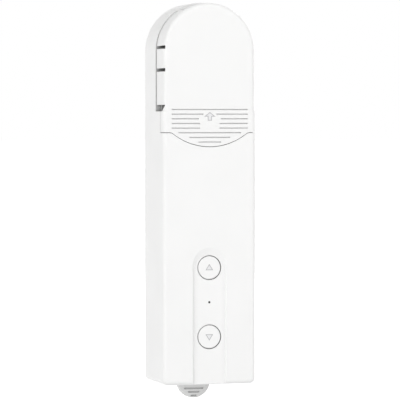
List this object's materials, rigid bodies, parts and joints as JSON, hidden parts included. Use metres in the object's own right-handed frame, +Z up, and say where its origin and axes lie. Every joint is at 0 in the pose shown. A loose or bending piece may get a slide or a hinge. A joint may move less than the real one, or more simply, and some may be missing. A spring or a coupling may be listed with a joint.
{
  "type": "roller shade motor",
  "caption": "Slim upright wall-mounted motor for a beaded shade chain, with an arched sliding cover, two round buttons in a channel and a release tab below.",
  "frame": {"origin": "middle of the wall bracket's back, halfway between its two screw slots", "axes": "+Z up, +X to the right as the user faces it, +Y into the wall; the front looks along -Y"},
  "size_m": [0.048, 0.035, 0.1993],
  "materials": {
    "housing_plastic": "fine matt moulded white",
    "cover_plastic": "fine matt moulded white",
    "button_plastic": "satin white",
    "panel_plastic": "matt white",
    "bracket_plastic": "matt white",
    "lever_plastic": "matt light grey",
    "sprocket_plastic": "acetal",
    "guide_plastic": "dark acetal",
    "gear_plastic": "natural acetal",
    "pinion_brass": "cut",
    "bush_bronze": "sintered",
    "ground_steel": "ground",
    "screw_steel": "zinc plated",
    "spring_steel": "rolled",
    "gearbox_steel": "die-cast, plain",
    "motor_can_steel": "drawn",
    "plate_steel": "stamped",
    "rotor_steel": "laminations",
    "magnet_ferrite": "sintered",
    "dark_plastic": "matt black",
    "cell_wrap": "wrapped",
    "contact_nickel": "nickel plated",
    "board_green": "solder mask",
    "component_black": "moulded",
    "shield_tin": "tinned",
    "light_pipe": "smoked",
    "lamp_resin": "clear"
  },
  "bodies": {
    "wall_bracket": {"wall_bracket": "bracket_plastic"},
    "driver": {"main_housing": "housing_plastic", "rear_panel": "panel_plastic", "panel_screws": "screw_steel", "lever_pin": "ground_steel", "leaf_spring": "spring_steel", "leaf_screw": "screw_steel", "chain_guide": "guide_plastic", "guide_screws": "screw_steel", "front_bush": "bush_bronze", "rear_bush": "bush_bronze", "gearbox_case": "gearbox_steel", "motor_plate": "plate_steel", "gearbox_screws": "screw_steel", "motor_can": "motor_can_steel", "motor_end_cap": "dark_plastic", "motor_magnets": "magnet_ferrite", "encoder_board": "board_green", "battery_cell_left": "cell_wrap", "battery_cell_right": "cell_wrap", "battery_holder": "dark_plastic", "battery_contacts": "contact_nickel", "main_board": "board_green", "board_screws": "screw_steel", "tact_switches": "component_black", "status_led": "lamp_resin", "light_guide": "light_pipe", "radio_module": "shield_tin", "board_connectors": "component_black", "charge_inlet": "shield_tin"},
    "cover": {"top_cover": "cover_plastic"},
    "sprocket": {"chain_sprocket": "sprocket_plastic", "sprocket_shaft": "ground_steel", "sprocket_screw": "screw_steel", "crown_gear": "gear_plastic"},
    "output": {"output_shaft": "ground_steel", "drive_pinion": "pinion_brass"},
    "rotor": {"motor_rotor": "rotor_steel", "encoder_magnet": "magnet_ferrite"},
    "up_button": {"up_button": "button_plastic"},
    "down_button": {"down_button": "button_plastic"},
    "release_lever": {"release_lever": "lever_plastic"}
  },
  "joints": [
    {"name": "tension_slide", "type": "slide", "parent": "wall_bracket", "child": "driver", "axis": [0, 0, 1], "range_m": [0, 0.03], "deforming": ["leaf_spring"]},
    {"name": "cover_slide", "type": "slide", "parent": "driver", "child": "cover", "axis": [0, 0, 1], "range_m": [0, 0.062]},
    {"name": "rotor_spin", "type": "hinge", "parent": "driver", "child": "rotor", "pos_m": [0, -0.0195, 0], "axis": [0, 0, 1], "continuous": true},
    {"name": "output_spin", "type": "hinge", "parent": "driver", "child": "output", "pos_m": [0, -0.0195, 0.053], "axis": [0, 0, 1], "continuous": true},
    {"name": "sprocket_spin", "type": "hinge", "parent": "driver", "child": "sprocket", "pos_m": [0, -0.0255, 0.071], "axis": [0, 1, 0], "continuous": true},
    {"name": "up_press", "type": "slide", "parent": "driver", "child": "up_button", "axis": [0, 1, 0], "range_m": [0, 0.0004], "stiffness_N_per_m": 3000},
    {"name": "down_press", "type": "slide", "parent": "driver", "child": "down_button", "axis": [0, 1, 0], "range_m": [0, 0.0004], "stiffness_N_per_m": 3000},
    {"name": "lever_tilt", "type": "hinge", "parent": "driver", "child": "release_lever", "pos_m": [0, -0.006, -0.075], "axis": [1, 0, 0], "range_deg": [0, 3], "stiffness_Nm_per_rad": 0.2, "deforming": ["leaf_spring"]}
  ],
  "couplings": [
    {"joint": "output_spin", "follows": "rotor_spin", "ratio": 0.015625},
    {"joint": "sprocket_spin", "follows": "rotor_spin", "ratio": 0.0052083}
  ]
}
